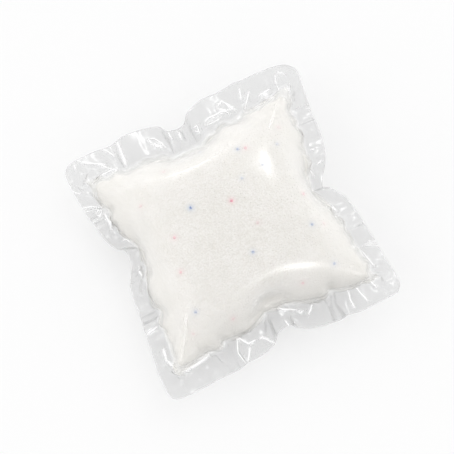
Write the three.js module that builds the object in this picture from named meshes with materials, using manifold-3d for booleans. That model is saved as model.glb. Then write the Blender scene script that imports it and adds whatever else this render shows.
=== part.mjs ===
// A sachet of laundry powder: two webs of clear film welded together round a wide seal margin,
// a charge of white powder between them, and coloured grains in the powder's surface.
// Millimetres, +Z up. The sachet lies on its flat resting face at z = 0, centred on the Z axis.
// X runs along the front and back edges, and Y from front to back.
import * as THREE from "three";
import { mergeVertices } from "three/addons/utils/BufferGeometryUtils.js";
import Module from "manifold-3d";

// Film as filled: corner to corner along each edge, the skew of its cut, its corner radius and its thickness
const FILM_LENGTH = 64.4;
const FILM_WIDTH = 64;
const CUT_SKEW = 0.8;
const FILM_CORNER_RADIUS = 3;
const FILM_THICKNESS = 0.1;

// Seal margin: its width at the corners, and the hair gap between the two welded faces
const SIDE_SEAL = 4.8;
const END_SEAL = 5.8;
const WELD_GAP = 0.02;
const FILL_CORNER_RADIUS = 2.6;

// Pillow: rise above and drop below the seal, the round flat that it rests on, the round middle of the dome,
// and the space left between the film and the powder
const UPPER_BULGE = 8.4;
const LOWER_BULGE = 8;
const REST_RADIUS = 13;
const DOME_RADIUS = 25;
const FILL_CLEARANCE = 0.3;

// Folds: half the width of the pinch in each side, the lift of the corners, and the height of the gathers
const NOTCH_HALF_WIDTH = 3.4;
const CORNER_LIFT = 1.2;
const GATHER_HEIGHT = 0.55;

// Coloured grains and the clearance of the pocket that each one lies in
const GRAIN_DIAMETER = 1.2;
const POCKET_CLEARANCE = 0.3;

// The sides run counter-clockwise from the front. notchAt is the pinch's place from the side's middle, bow a
// broad curve and notch the pinch's depth, both inwards, and foldLift how far the pinch folds the edge up.
const SIDES = [
  { notchAt: 2, edgeBow: -1.8, edgeNotch: 4.2, fillBow: 1.4, fillNotch: 2.2, foldLift: 0.6 },
  { notchAt: 0, edgeBow: 3.2, edgeNotch: 4.2, fillBow: 2.4, fillNotch: 2.6, foldLift: -1 },
  { notchAt: 1.4, edgeBow: -1.8, edgeNotch: 3.8, fillBow: 2, fillNotch: 2.4, foldLift: -0.8 },
  { notchAt: -5, edgeBow: 3.4, edgeNotch: 3.8, fillBow: 2.6, fillNotch: 1.8, foldLift: 1.2 },
];

// Places of the grains on the upper and the under face of the powder, as [x, y] shares of half the fill
const BLUE_UPPER_SHARES = [
  [0.04, 0.81], [0.36, 0.64], [0.71, 0.53], [0.49, 0.39], [0.26, 0.35],
  [-0.28, 0.3], [0.65, -0.33], [0.04, -0.35], [0.67, -0.76], [-0.66, -0.61],
];
const PINK_UPPER_SHARES = [
  [0.42, 0.62], [0.8, 0.69], [-0.34, 0.77], [0.08, 0.19], [-0.67, 0.55],
  [-0.53, 0.11], [0.2, -0.11], [0.72, -0.03], [0.76, -0.36], [-0.62, -0.21],
  [0.33, -0.8], [-0.37, -0.82], [-0.76, -0.78],
];
const BLUE_UNDER_SHARES = [[-0.47, 0.34], [0.26, 0.57], [0.55, -0.46]];
const PINK_UNDER_SHARES = [[0.44, 0.15], [-0.22, -0.61], [-0.62, -0.27]];

// Fineness of the facets: steps along a side and round a corner, and their crowding towards the side's middle
const SIDE_STEPS = 22;
const CORNER_STEPS = 3;
const STEP_CROWDING = 0.55;

// Counts of rings from the dome's middle to the seal, from the edge of the resting flat to the seal, and
// across the margin
const UPPER_RINGS = 7;
const LOWER_RINGS = 5;
const MARGIN_RINGS = 3;

// Form of the domes: how flat each one is, how steep their feet, and how late they take the seal's outline
const UPPER_FLATNESS = 5;
const LOWER_FLATNESS = 3.2;
const DOME_STEEPNESS = 0.6;
const DOME_ROUNDNESS = 6;

// Form of the folds, as shares: the lowest gather, the gathers at the film's edge, the pinch's lift at the
// seal, and where on the dome the folds begin. The beat sets how the gathers' heights vary from one to the
// next, and the sharpness how close to the corners their lift keeps.
const LOWEST_GATHER = 0.35;
const EDGE_GATHER = 0.3;
const SEAL_LIFT = 0.4;
const FOLD_START = 0.62;
const GATHER_BEAT = 1.7;
const CORNER_SHARPNESS = 4;

const wasm = await Module();
wasm.setup();

const fillHalfLength = FILM_LENGTH / 2 - SIDE_SEAL;
const fillHalfWidth = FILM_WIDTH / 2 - END_SEAL;
const upperDepth = UPPER_BULGE - FILM_THICKNESS;
const lowerDepth = LOWER_BULGE - FILM_THICKNESS;
const sealHeight = LOWER_BULGE;
const restShare = REST_RADIUS / DOME_RADIUS;
const grainRadius = GRAIN_DIAMETER / 2;

// Shares from one ring to the last, crowded towards the last ring, where the dome is steepest
function crowdedShares(first, last) {
  const shares = [];
  for (let ring = first; ring <= last; ring += 1) {
    shares.push(Math.sin(((ring / last) * Math.PI) / 2));
  }
  return shares;
}

// A step from 0 to 1 that starts and ends level
function ease(from, to, value) {
  const share = THREE.MathUtils.clamp((value - from) / (to - from), 0, 1);
  return share * share * (3 - 2 * share);
}

// A point of a rounded rectangle: a share of the way along a side, or round the corner after it
function roundedPoint({ turn, along, corner }, [halfAlong, halfAcross], radius, pull) {
  const point = new THREE.Vector2(along * (halfAlong - radius), pull - halfAcross);
  if (corner > 0) {
    const angle = (corner * Math.PI) / 2;
    point.set(halfAlong - radius * (1 - Math.sin(angle)), radius * (1 - Math.cos(angle)) - halfAcross);
  }
  point.rotateAround(new THREE.Vector2(), (turn * Math.PI) / 2);
  point.x += (CUT_SKEW * point.y) / (FILM_WIDTH / 2);
  return point;
}

// The pinch of a side as a share, 1 where the side is drawn in most
function pinch({ side, along, corner }, halfAlong) {
  const distance = along * halfAlong - side.notchAt;
  return corner > 0 ? 0 : Math.exp(-((distance / NOTCH_HALF_WIDTH) ** 2));
}

// One station round the bag: the film's edge, the seal's inner edge, and the height of the folds at both
function station(place, index) {
  const { side, turn, along, corner } = place;
  const film = [FILM_LENGTH / 2, FILM_WIDTH / 2];
  const fill = [fillHalfLength, fillHalfWidth];
  if (turn % 2 === 1) {
    film.reverse();
    fill.reverse();
  }
  const bow = (1 - along ** 2) ** 2;
  const pinched = pinch(place, film[0]);
  const nearCorner = corner > 0 ? 1 : along ** CORNER_SHARPNESS;
  const tall = LOWEST_GATHER + (1 - LOWEST_GATHER) * Math.abs(Math.sin(GATHER_BEAT * index));
  const gather = (index % 2 ? -tall : tall) * GATHER_HEIGHT;
  return {
    edge: roundedPoint(place, film, FILM_CORNER_RADIUS, side.edgeBow * bow + side.edgeNotch * pinched),
    seal: roundedPoint(place, fill, FILL_CORNER_RADIUS, side.fillBow * bow + side.fillNotch * pinched),
    edgeFold: CORNER_LIFT * nearCorner + side.foldLift * pinched + EDGE_GATHER * gather,
    sealFold: SEAL_LIFT * side.foldLift * pinched + gather * (1 - nearCorner),
  };
}

// All stations, with the steps along each side crowded towards its middle, where the pinch is
function allStations() {
  const places = [];
  SIDES.forEach((side, turn) => {
    for (let step = 0; step <= SIDE_STEPS; step += 1) {
      const even = (2 * step) / SIDE_STEPS - 1;
      const along = even - (STEP_CROWDING * Math.sin(Math.PI * even)) / Math.PI;
      places.push({ side, turn, along, corner: 0 });
    }
    for (let step = 1; step < CORNER_STEPS; step += 1) {
      places.push({ side, turn, along: 1, corner: step / CORNER_STEPS });
    }
  });
  return places.map(station);
}

// A ring of one film's inner face. It is round near the middle and takes the seal's outline at share 1.
function domeRing(stations, share, { depth, flatShare, flatness }) {
  const spread = (share - flatShare) / (1 - flatShare);
  const rise = depth * (1 - spread ** flatness) ** DOME_STEEPNESS;
  const foldShare = ease(FOLD_START, 1, share);
  return stations.map(({ seal, sealFold }) => {
    const radius = share * THREE.MathUtils.lerp(DOME_RADIUS, seal.length(), share ** DOME_ROUNDNESS);
    const plan = seal.clone().setLength(radius);
    return new THREE.Vector3(plan.x, plan.y, sealHeight + sealFold * foldShare + rise);
  });
}

// A ring of the seal margin, from the seal's inner edge at share 0 to the film's edge at share 1
function marginRing(stations, share) {
  return stations.map(({ edge, seal, edgeFold, sealFold }) => {
    const plan = seal.clone().lerp(edge, share);
    return new THREE.Vector3(plan.x, plan.y, sealHeight + THREE.MathUtils.lerp(sealFold, edgeFold, share));
  });
}

// Moves every point of some rings up
function lifted(rings, height) {
  return rings.map((ring) => ring.map((point) => point.clone().setZ(point.z + height)));
}

// A skin over rings of points round a middle point, with triangles that face upwards
function skin(middle, rings) {
  const count = rings[0].length;
  const points = [middle, ...rings.flat()];
  const triangles = [];
  for (let i = 0; i < count; i += 1) {
    const next = (i + 1) % count;
    triangles.push([0, 1 + i, 1 + next]);
    for (let ring = 1; ring < rings.length; ring += 1) {
      const inner = 1 + (ring - 1) * count;
      const outer = 1 + ring * count;
      triangles.push([inner + i, outer + i, outer + next], [inner + i, outer + next, inner + next]);
    }
  }
  return { points, triangles, count };
}

// The upward normals of a skin's points, each weighted by the areas of the triangles round it
function skinNormals({ points, triangles }) {
  const normals = points.map(() => new THREE.Vector3());
  const face = new THREE.Triangle();
  const normal = new THREE.Vector3();
  for (const [a, b, c] of triangles) {
    face.set(points[a], points[b], points[c]);
    face.getNormal(normal).multiplyScalar(face.getArea());
    for (const corner of [a, b, c]) {
      normals[corner].add(normal);
    }
  }
  return normals.map((sum) => sum.normalize());
}

// Two skins with the same count of stations, joined at their last rings into one closed geometry
function closedBetween(upper, lower) {
  const points = [...upper.points, ...lower.points];
  const shift = upper.points.length;
  const triangles = [...upper.triangles];
  for (const [a, b, c] of lower.triangles) {
    triangles.push([shift + a, shift + c, shift + b]);
  }
  const upperRim = upper.points.length - upper.count;
  const lowerRim = points.length - lower.count;
  for (let i = 0; i < upper.count; i += 1) {
    const next = (i + 1) % upper.count;
    triangles.push([upperRim + i, lowerRim + i, lowerRim + next]);
    triangles.push([upperRim + i, lowerRim + next, upperRim + next]);
  }
  const geometry = new THREE.BufferGeometry();
  geometry.setFromPoints(points);
  geometry.setIndex(triangles.flat());
  return geometry;
}

// A film of even thickness on a skin that is its inner face, thickened upwards or downwards.
// The first points, which lie in a level flat, move straight up or down, so that the outer face is level too.
function filmOn(inner, direction, levelPoints) {
  const normals = skinNormals(inner);
  const outerPoints = inner.points.map((point, index) => {
    const normal = index < levelPoints ? new THREE.Vector3(0, 0, 1) : normals[index];
    return point.clone().addScaledVector(normal, direction * FILM_THICKNESS);
  });
  const outer = { ...inner, points: outerPoints };
  return direction > 0 ? closedBetween(outer, inner) : closedBetween(inner, outer);
}

// A closed geometry as a solid that can be cut
function solidOf(geometry) {
  const plain = geometry.clone();
  plain.deleteAttribute("normal");
  plain.deleteAttribute("uv");
  const merged = mergeVertices(plain);
  const vertProperties = merged.getAttribute("position").array;
  const triVerts = new Uint32Array(merged.index.array);
  return new wasm.Manifold(new wasm.Mesh({ numProp: 3, vertProperties, triVerts }));
}

// A solid as a geometry again
function geometryOf(solid) {
  const { vertProperties, triVerts } = solid.getMesh();
  const geometry = new THREE.BufferGeometry();
  geometry.setAttribute("position", new THREE.BufferAttribute(vertProperties, 3));
  geometry.setIndex(new THREE.BufferAttribute(triVerts, 1));
  geometry.computeVertexNormals();
  return geometry;
}

// Rings of the two films' inner faces. The margin is shared, and parted there by the weld's hair gap.
const stations = allStations();
const upperForm = { depth: upperDepth, flatShare: 0, flatness: UPPER_FLATNESS };
const lowerForm = { depth: -lowerDepth, flatShare: restShare, flatness: LOWER_FLATNESS };
const upperRings = crowdedShares(1, UPPER_RINGS).map((share) => domeRing(stations, share, upperForm));
const lowerRings = crowdedShares(0, LOWER_RINGS).map((share) => {
  return domeRing(stations, THREE.MathUtils.lerp(restShare, 1, share), lowerForm);
});
const marginRings = [];
for (let ring = 1; ring <= MARGIN_RINGS; ring += 1) {
  marginRings.push(marginRing(stations, ring / MARGIN_RINGS));
}
const upperMiddle = new THREE.Vector3(0, 0, sealHeight + upperDepth);
const lowerMiddle = new THREE.Vector3(0, 0, sealHeight - lowerDepth);

function filmSkin(middle, rings, gap) {
  return skin(middle, [...rings.slice(0, -1), ...lifted([rings.at(-1), ...marginRings], gap)]);
}

// A face of the powder follows its film at a clearance, and stops one ring short of the seal
function powderSkin(middle, rings, clearance) {
  const [[start]] = lifted([[middle]], clearance);
  return skin(start, lifted(rings.slice(0, -1), clearance));
}

const upperSkin = filmSkin(upperMiddle, upperRings, WELD_GAP / 2);
const lowerSkin = filmSkin(lowerMiddle, lowerRings, -WELD_GAP / 2);
const powderBody = closedBetween(
  powderSkin(upperMiddle, upperRings, -FILL_CLEARANCE),
  powderSkin(lowerMiddle, lowerRings, FILL_CLEARANCE),
);

const clearFilm = new THREE.MeshStandardMaterial({
  color: 0xe6e9ea, roughness: 0.12, metalness: 0, transparent: true, opacity: 0.35,
});
const whitePowder = new THREE.MeshStandardMaterial({ color: 0xf0eee9, roughness: 0.95, metalness: 0 });
const blueGrain = new THREE.MeshStandardMaterial({ color: 0x8fb4d8, roughness: 0.9, metalness: 0 });
const pinkGrain = new THREE.MeshStandardMaterial({ color: 0xe8a3b2, roughness: 0.9, metalness: 0 });

const sachet = new THREE.Group();

function addPiece(name, geometry, material) {
  const mesh = new THREE.Mesh(geometry, material);
  mesh.name = name;
  sachet.add(mesh);
  return mesh;
}

addPiece("upper_film", filmOn(upperSkin, 1, 1), clearFilm);
addPiece("lower_film", filmOn(lowerSkin, -1, 1 + stations.length), clearFilm);

// The middle of a grain that lies just under the powder's upper or under face
const powderShape = new THREE.Mesh(powderBody);

function grainMiddle([alongX, alongY], fromAbove) {
  const height = fromAbove ? sealHeight + 2 * UPPER_BULGE : -LOWER_BULGE;
  const start = new THREE.Vector3(alongX * fillHalfLength, alongY * fillHalfWidth, height);
  const direction = new THREE.Vector3(0, 0, fromAbove ? -1 : 1);
  const [hit] = new THREE.Raycaster(start, direction).intersectObject(powderShape);
  return hit.point.addScaledVector(hit.face.normal, -grainRadius);
}

// Adds a row of grains and cuts the pocket that each one lies in out of the powder
let powder = solidOf(powderBody);

function addGrains(name, places, fromAbove, firstNumber, material) {
  places.forEach((place, index) => {
    const number = String(firstNumber + index).padStart(2, "0");
    const grain = addPiece(`${name}_${number}`, new THREE.IcosahedronGeometry(grainRadius), material);
    grain.position.copy(grainMiddle(place, fromAbove));
    const pocket = new THREE.IcosahedronGeometry(grainRadius + POCKET_CLEARANCE);
    pocket.translate(...grain.position);
    powder = powder.subtract(solidOf(pocket));
  });
}

addGrains("blue_grain", BLUE_UPPER_SHARES, true, 1, blueGrain);
addGrains("blue_grain", BLUE_UNDER_SHARES, false, 1 + BLUE_UPPER_SHARES.length, blueGrain);
addGrains("pink_grain", PINK_UPPER_SHARES, true, 1, pinkGrain);
addGrains("pink_grain", PINK_UNDER_SHARES, false, 1 + PINK_UPPER_SHARES.length, pinkGrain);
addPiece("powder_fill", geometryOf(powder), whitePowder);

export default sachet;
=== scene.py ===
"""A sachet of laundry powder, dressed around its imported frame.

Two welded sheets of clear film are inflated as cloth, and the powder, its granules and the coloured grains
are made inside them. Lengths in the values below are millimetres, and the finished meshes are in metres.
"""
import math

import bmesh
import bpy
import numpy as np
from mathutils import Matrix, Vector, noise
from mathutils.bvhtree import BVHTree


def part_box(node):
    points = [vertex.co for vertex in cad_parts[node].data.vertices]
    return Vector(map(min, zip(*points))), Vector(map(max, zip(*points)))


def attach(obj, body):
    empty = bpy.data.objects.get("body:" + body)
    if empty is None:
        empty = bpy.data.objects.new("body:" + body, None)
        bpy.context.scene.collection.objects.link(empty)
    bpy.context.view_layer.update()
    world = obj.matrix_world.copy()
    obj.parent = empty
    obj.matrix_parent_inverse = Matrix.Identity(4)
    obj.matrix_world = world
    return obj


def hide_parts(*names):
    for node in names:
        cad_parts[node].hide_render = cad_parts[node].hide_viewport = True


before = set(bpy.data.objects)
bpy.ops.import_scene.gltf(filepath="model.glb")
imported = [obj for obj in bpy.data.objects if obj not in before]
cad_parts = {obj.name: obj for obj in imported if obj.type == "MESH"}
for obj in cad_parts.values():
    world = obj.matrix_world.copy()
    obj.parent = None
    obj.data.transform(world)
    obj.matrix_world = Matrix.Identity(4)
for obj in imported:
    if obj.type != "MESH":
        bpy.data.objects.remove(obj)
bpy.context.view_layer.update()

MM = 0.001

# The photograph's frame, its scale at the bag's seal, the bag's middle in it and its viewing angle in
# degrees. The lens is long, because the photograph has hardly any perspective.
PHOTO_PIXELS = 454
MM_PER_PIXEL = 0.248
BAG_MIDDLE_PIXEL = (232.4, 231.0)
VIEW_AZIMUTH = -26.3
VIEW_ELEVATION = 74.0
LENS_LENGTH = 300.0
SENSOR_WIDTH = 36.0
NEAREST_SEEN = 10.0

# The film as cut: half its length and width, its seal margins, the bulges of its front and back edges, its
# skew at those edges, its corner radius and its thickness, with the hair gap of the weld
FLAT_HALF_X = 33.6
FLAT_HALF_Y = 34.1
SEAL_X = 4.9
SEAL_Y = 5.8
FRONT_BULGE = 2.2
BACK_BULGE = 3.6
CUT_SKEW = 0.85
FILM_CORNER_RADIUS = 2.4
FILM_THICKNESS = 0.1
WELD_GAP = 0.02

# The filled bag: the volume that its film is inflated to, the height of its seal above the surface that it
# lies on, and how softly the resting face flattens
INFLATED_CUBIC_MM = 34000.0
SEAL_HEIGHT = 8.0
REST_SOFTNESS = 0.15

# The charge draws the film taut: steps that even out its small waves, over a band inside the seal
TAUT_STEPS = 40
TAUT_FROM_SEAL = (2.0, 8.0)

# The dent of the front wall, where the gathered seal pulls the film in: its place on the flat film, its half
# widths, its depth and the band beside the seal over which it starts
DENT_PLACE = (0.6, -23.8)
DENT_HALF_WIDTHS = (3.7, 3.0)
DENT_DEPTH = 1.8
DENT_START = 2.5

# Cloth: cells along each side and across a margin, frames, and model metres for each millimetre, because the
# solver suits large cloth. The film hardly stretches, and its welded margin is stiffer.
CLOTH_CELLS = 96
CLOTH_MARGIN_CELLS = 7
CLOTH_FRAMES = 45
CLOTH_METRES_PER_MM = 0.02
CLOTH_SETTINGS = {
    "quality": 5, "mass": 0.15, "air_damping": 5.0,
    "tension_stiffness": 15.0, "compression_stiffness": 15.0, "shear_stiffness": 7.0,
    "tension_damping": 10.0, "compression_damping": 10.0, "shear_damping": 10.0,
    "bending_stiffness": 0.04, "bending_stiffness_max": 0.12, "bending_damping": 0.5,
    "use_pressure": True, "uniform_pressure_force": 0.0, "use_pressure_volume": True, "pressure_factor": 1.5,
    "vertex_group_bending": "welded", "vertex_group_pressure": "pocket",
}

# Sides, counter-clockwise from the front
SIDES = range(4)
FRONT, RIGHT, BACK, LEFT = SIDES

# The pinch in the middle of each side: the side, its place along it and its lift. The film is cut in a
# little there, over the outer part of the side.
PINCHES = [(FRONT, 2.0, 1.0), (RIGHT, 1.0, -1.0), (BACK, 1.5, -1.0), (LEFT, -4.9, 1.0)]
PINCH_HALF_WIDTH = 5.5
PINCH_REACH = 9.0
PINCH_CUT = 3.2
PINCH_CUT_FROM = 24.0
PINCH_CUT_OVER = 10.0

# Small folds that start the crinkles of each side: place along it, lift and half width
CRINKLES = {
    FRONT: [
        (-15.5, -0.9, 1.8), (-10.6, 1.4, 1.6), (-4.6, -1.3, 1.8), (7.6, -1.2, 1.7),
        (13.5, 0.8, 1.8), (18.8, 1.0, 1.5), (22.6, -1.0, 1.6),
    ],
    RIGHT: [
        (-23.5, -0.8, 1.6), (-18.4, 1.2, 1.6), (-13.2, -1.0, 1.7), (-5.5, 1.3, 1.8),
        (6.4, 1.3, 1.7), (10.6, -1.0, 1.5), (16.5, 0.9, 1.8),
    ],
    BACK: [
        (-20.4, -0.5, 1.4), (-17.2, 0.7, 1.5), (-12.4, -0.6, 1.6), (-8.2, 0.7, 1.8), (-3.4, 0.5, 1.5),
        (6.7, 0.7, 1.6), (11.0, -0.5, 1.7), (15.6, 0.7, 1.6), (19.6, -0.6, 1.6),
    ],
    LEFT: [
        (-26.0, 0.7, 1.5), (-20.4, -1.0, 1.5), (-16.0, 1.0, 1.7), (-9.6, -1.2, 1.6),
        (0.2, -1.2, 1.7), (7.0, 0.8, 2.0), (14.2, 1.3, 1.8), (20.5, -0.8, 1.8),
    ],
}
CRINKLE_REACH = 8.0

# Gathers along the seal's inner line: the depth and the pitch of each of their waves, and how far they reach
GATHER_WAVES = [(0.16, 6.1), (0.12, 4.3), (0.2, 9.7)]
GATHER_REACH = 2.5

# Wrinkles that run across the seal margin: their height, pitch along the side and length, and how their
# crests stand over flanks of noise. They start beside the seal, stop at the corners, and lose a share of
# their height over the outer part of the margin.
WRINKLE_HEIGHT = 0.35
WRINKLE_PITCH = 2.2
WRINKLE_LENGTH = 9.0
WRINKLE_SEED = 5.7
WRINKLE_CREST = 0.5
WRINKLE_FLANK = 2.0
WRINKLE_START = 1.5
WRINKLE_CORNER_STOP = 2.0
WRINKLE_FADE = (2.5, 5.0)
WRINKLE_FADE_SHARE = 0.7

# Starting folds: the line that they reach out to and how they fade inwards, with a fine ripple under them
FOLD_OUTER_LINE = 34.0
FOLD_FADE = 1.5
RIPPLE_HEIGHT = 0.2
RIPPLE_PITCH = 0.3
RIPPLE_SEED = 3.1

# Sharp creases pressed into the film of the seal margin, each along pixels of the photograph and each with a
# glint painted along it
THIN_CREASES = [
    # Left corner
    [(79, 162), (107, 165)], [(100, 167), (119, 170)], [(92, 185), (101, 175), (112, 170), (119, 170)],
    [(74, 163), (76, 171)], [(68, 191), (82, 194)], [(79, 209), (92, 206), (104, 208)],
    [(82, 213), (100, 208)], [(104, 212), (109, 223), (112, 231)],
    [(96, 216), (98, 210), (102, 210), (100, 217), (96, 216)],
    # Back edge
    [(102, 148), (115, 157)], [(147, 140), (154, 138), (164, 146), (157, 147), (147, 140)],
    [(150, 144), (163, 147)], [(167, 131), (173, 140)], [(178, 131), (182, 142)],
    [(193, 129), (197, 125), (199, 132), (194, 131)],
    [(204, 125), (208, 119), (221, 112), (232, 115)], [(205, 126), (214, 122), (222, 117)],
    [(216, 109), (222, 101), (234, 109), (226, 111), (216, 109)],
    [(239, 87), (241, 101)], [(249, 90), (244, 111)],
    # Top corner
    [(275, 73), (276, 86)], [(276, 72), (288, 75)], [(289, 82), (289, 92)], [(257, 97), (271, 88)],
    [(252, 109), (276, 95)], [(296, 109), (301, 107)], [(305, 104), (309, 110)],
    # Right edge
    [(296, 126), (300, 138)], [(310, 151), (316, 148)], [(316, 165), (323, 160)], [(309, 167), (314, 178)],
    [(323, 204), (331, 206), (338, 213)], [(367, 241), (383, 241)], [(362, 245), (382, 246)],
    [(359, 247), (376, 268)], [(363, 221), (370, 228)],
    # Right corner
    [(348, 289), (350, 299), (355, 308)], [(355, 287), (369, 302)], [(361, 282), (369, 280), (378, 288)],
    # Front edge
    [(308, 317), (313, 303)], [(284, 319), (291, 328)], [(276, 308), (287, 310), (299, 310)],
    [(296, 312), (301, 313), (304, 309)], [(237, 337), (248, 344), (257, 339)],
    [(237, 337), (238, 353), (247, 365)], [(250, 346), (248, 364)], [(226, 337), (238, 330)],
    [(214, 342), (223, 348)], [(186, 363), (195, 353)],
    # Left edge
    [(138, 266), (142, 279)], [(121, 241), (126, 239), (132, 244)],
]
# Broader creases, each with a broader painted glint
BROAD_CREASES = [
    [(117, 140), (127, 167)], [(258, 340), (262, 337), (277, 344)], [(184, 372), (198, 364), (210, 355)],
    [(163, 347), (166, 359), (178, 371)], [(145, 336), (158, 326)],
]

# Fainter creases that run up two corners of the dome, each with a fainter painted glint
DOME_CREASES = [[(187, 313), (185, 335), (181, 362)], [(277, 103), (272, 120), (268, 130)]]
DOME_CREASE_SHARE = 0.25

# Creases: the half widths of their painted glints, the length that they taper over, their height, how far
# their slopes reach, and how far from them their painted glints reach
THIN_HALF_WIDTH = 0.32
BROAD_HALF_WIDTH = 0.5
CREASE_TAPER = 1.2
CREASE_HEIGHT = 0.2
CREASE_SLOPE_WIDTH = 0.45
CREASE_GLINT_SPREAD = 1.0

# Small blisters that the gathered film leaves beside the seal, each from one pixel of the photograph to
# another
BLISTERS = [
    ((150, 141), (162, 145)), ((207, 122), (226, 114)), ((219, 106), (230, 108)), ((98, 211), (99, 216)),
    ((110, 224), (114, 236)), ((310, 166), (314, 176)), ((325, 206), (335, 211)), ((290, 313), (300, 312)),
    ((312, 306), (324, 303)), ((216, 345), (224, 350)), ((139, 268), (141, 277)), ((180, 133), (184, 142)),
]
BLISTER_HALF_WIDTH = 1.0
BLISTER_HEIGHT = 0.4

# Bands beside the seal's inner line, over which creases and blisters start, the margin's finish starts, and
# the powder's fine dust on the film, whose white also paints a sheen on the bag's walls, starts and ends. A
# place inside the line is negative.
CREASES_START = (-1.5, 0.3)
MARGIN_START = (0.2, 1.2)
DUST_AND_SHEEN_START = (-12.0, -2.0)
DUST_AND_SHEEN_END = (0.0, 0.8)

# Fineness of the finished film and of the powder's faces, in cells
MARGIN_CELLS = 24
DOME_CELLS = 158
POWDER_CELLS = 150

# Powder: its clearance to the film, how far it stops short of the seal, the radius of its corners, the bulge
# of its rim, half its least depth, and the flattest slope that its clearance still follows
POWDER_CLEARANCE = 0.45
POWDER_SHORT_OF_SEAL = 1.1
POWDER_CORNER_RADIUS = 4.0
POWDER_RIM_BULGE = 0.3
LEAST_HALF_DEPTH = 0.06
LEAST_SLOPE = 0.4

# Granules of the powder: their diameter range, spacing and greatest number for each square millimetre
GRANULE_SMALLEST = 0.16
GRANULE_LARGEST = 0.46
GRANULE_SPACING = 0.6
GRANULE_DENSITY = 4.0
GRANULE_SEED = 7

# Coloured grains: how finely they are meshed, their diameter, how deep their middles lie, their lumps, and
# how far and how strongly their dye stains the powder. Some grains are dyed strongly and some faintly.
GRAIN_FINENESS = 3
GRAIN_DIAMETER = 1.1
GRAIN_DEPTH = 0.42
GRAIN_LUMP_HEIGHT = 0.22
GRAIN_LUMP_PITCH = 1.6
STAIN_REACH = 0.9
STAIN_SHARE = 0.4
USUAL_DYE = 0.5
STRONG_DYE = 0.9
FAINT_DYE = 0.25
STRONG_GRAINS = ("blue_grain_06", "pink_grain_04")
FAINT_GRAINS = (
    "blue_grain_01", "blue_grain_03", "blue_grain_04", "blue_grain_05", "pink_grain_02", "pink_grain_03",
    "pink_grain_05", "pink_grain_07", "pink_grain_09", "pink_grain_13",
)

# The film's finish: the light that passes where it is clear and where it is grey, and the colours of its
# gloss and of its white. Grey and gloss each have a share face-on, a share that edge-on adds, and a power
# for that. The margin's grey is partly painted shade, and what edge-on adds to it is painted shade along
# folds. The white paints glints on creases and on the cut edge, and is dust that also paints a sheen.
CLEAR_FILM = (0.994, 0.994, 0.994, 1)
GREY_FILM = (0.8, 0.8, 0.8, 1)
GLOSSY_FILM = (0.97, 0.97, 0.97, 1)
GLINT_AND_DUST_WHITE = (0.96, 0.96, 0.96, 1)
MARGIN_GREY_AND_SHADE_SHARES = (0.16, 0.3, 2.5)
GLOSS_SHARES = (0.025, 0.9, 2.0)
FILM_ROUGHNESS = 0.22
MARGIN_ROUGHNESS = 0.03
WHITE_ROUGHNESS = 0.3

# White on the film: the width of the glint painted along its cut edge, the shares of white in that glint
# and under dust, which also paints a sheen on the bag's walls, and the colour of the dust
CUT_EDGE_GLINT_WIDTH = 0.3
CUT_EDGE_GLINT_SHARE = 0.25
DUST_AND_SHEEN_SHARE = 0.2
DUST_AND_SHEEN_COLOUR = (243, 242, 239)

# The film's fine relief: the size of its waves, their share where it is taut and what the margin adds, the
# size and share of its grain, the share of the painted glints along its creases, and the strength and full
# step of it all
WAVE_SIZE = 2.4
TAUT_WAVES = 0.03
MARGIN_WAVES = 0.15
FILM_GRAIN_SIZE = 0.4
FILM_GRAIN_SHARE = 0.01
CREASE_RELIEF_SHARE = 0.35
FILM_RELIEF = (0.35, 0.2)

# The powder's finish: its white, its clouds and its specks, with their sizes and the ranges of noise that
# they show in, and the stains of the two dyes. Specks are fainter on the bag's flanks.
POWDER_WHITE = (246, 244, 241)
CLOUD_COLOUR = (242, 240, 236)
CLOUD_SIZE = 5.0
CLOUD_RANGE = (0.35, 0.7)
SPECK_COLOUR = (229, 226, 220)
SPECK_SIZE = 0.38
SPECK_RANGE = (0.38, 0.66)
SPECK_SHARE = 0.72
SPECK_LOSS_AT_FLANK = 0.3
FLANK_START = 17.0
FLANK_END = 28.0
SPECK_RELIEF = (0.22, 0.2)
POWDER_ROUGHNESS = 0.95
POWDER_SPECULAR = 0.2
STAIN_COLOURS = {"blue": (130, 165, 215), "pink": (243, 170, 185)}

# The coloured grains' finish: their dyes, and the white dust that lies in their hollows
DYE_COLOURS = {"blue": (75, 125, 195), "pink": (242, 155, 178)}
GRAIN_DUST_COLOUR = (243, 240, 236)
GRAIN_DUST_SIZE = 0.3
GRAIN_DUST_RANGE = (0.45, 0.7)
GRAIN_DUST_SHARE = 0.5
GRAIN_RELIEF = (0.5, 0.1)
GRAIN_ROUGHNESS = 0.85

# Lamps, each with the azimuth and elevation that it is seen at from the bag, its strength and its angle
# across. Some light the bag, and others are there for the film to mirror.
LIGHTING_LAMPS = {"window": (130, 54, 1.0, 40), "left_softbox": (-105, 22, 0.7, 60)}
MIRRORED_LAMPS = {
    "tall_lamp": (136, 53, 0.19, 8),
    "wide_lamp": (31, 59, 0.34, 12),
    "far_lamp": (174, 30, 0.05, 6),
}

# The stage: plain white, the sky's strength overhead and at the horizon, the floor's white, the share of
# plain white that is seen in it, half its width, and how far it lies under the bag
PLAIN_WHITE = (1, 1, 1, 1)
SKY_OVERHEAD = 0.55
SKY_HORIZON = 1.32
FLOOR_WHITE = 0.85
FLOOR_GLOW = 0.55
FLOOR_HALF_METRES = 3.0
FLOOR_DROP = 0.1


# Nodes

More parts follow.
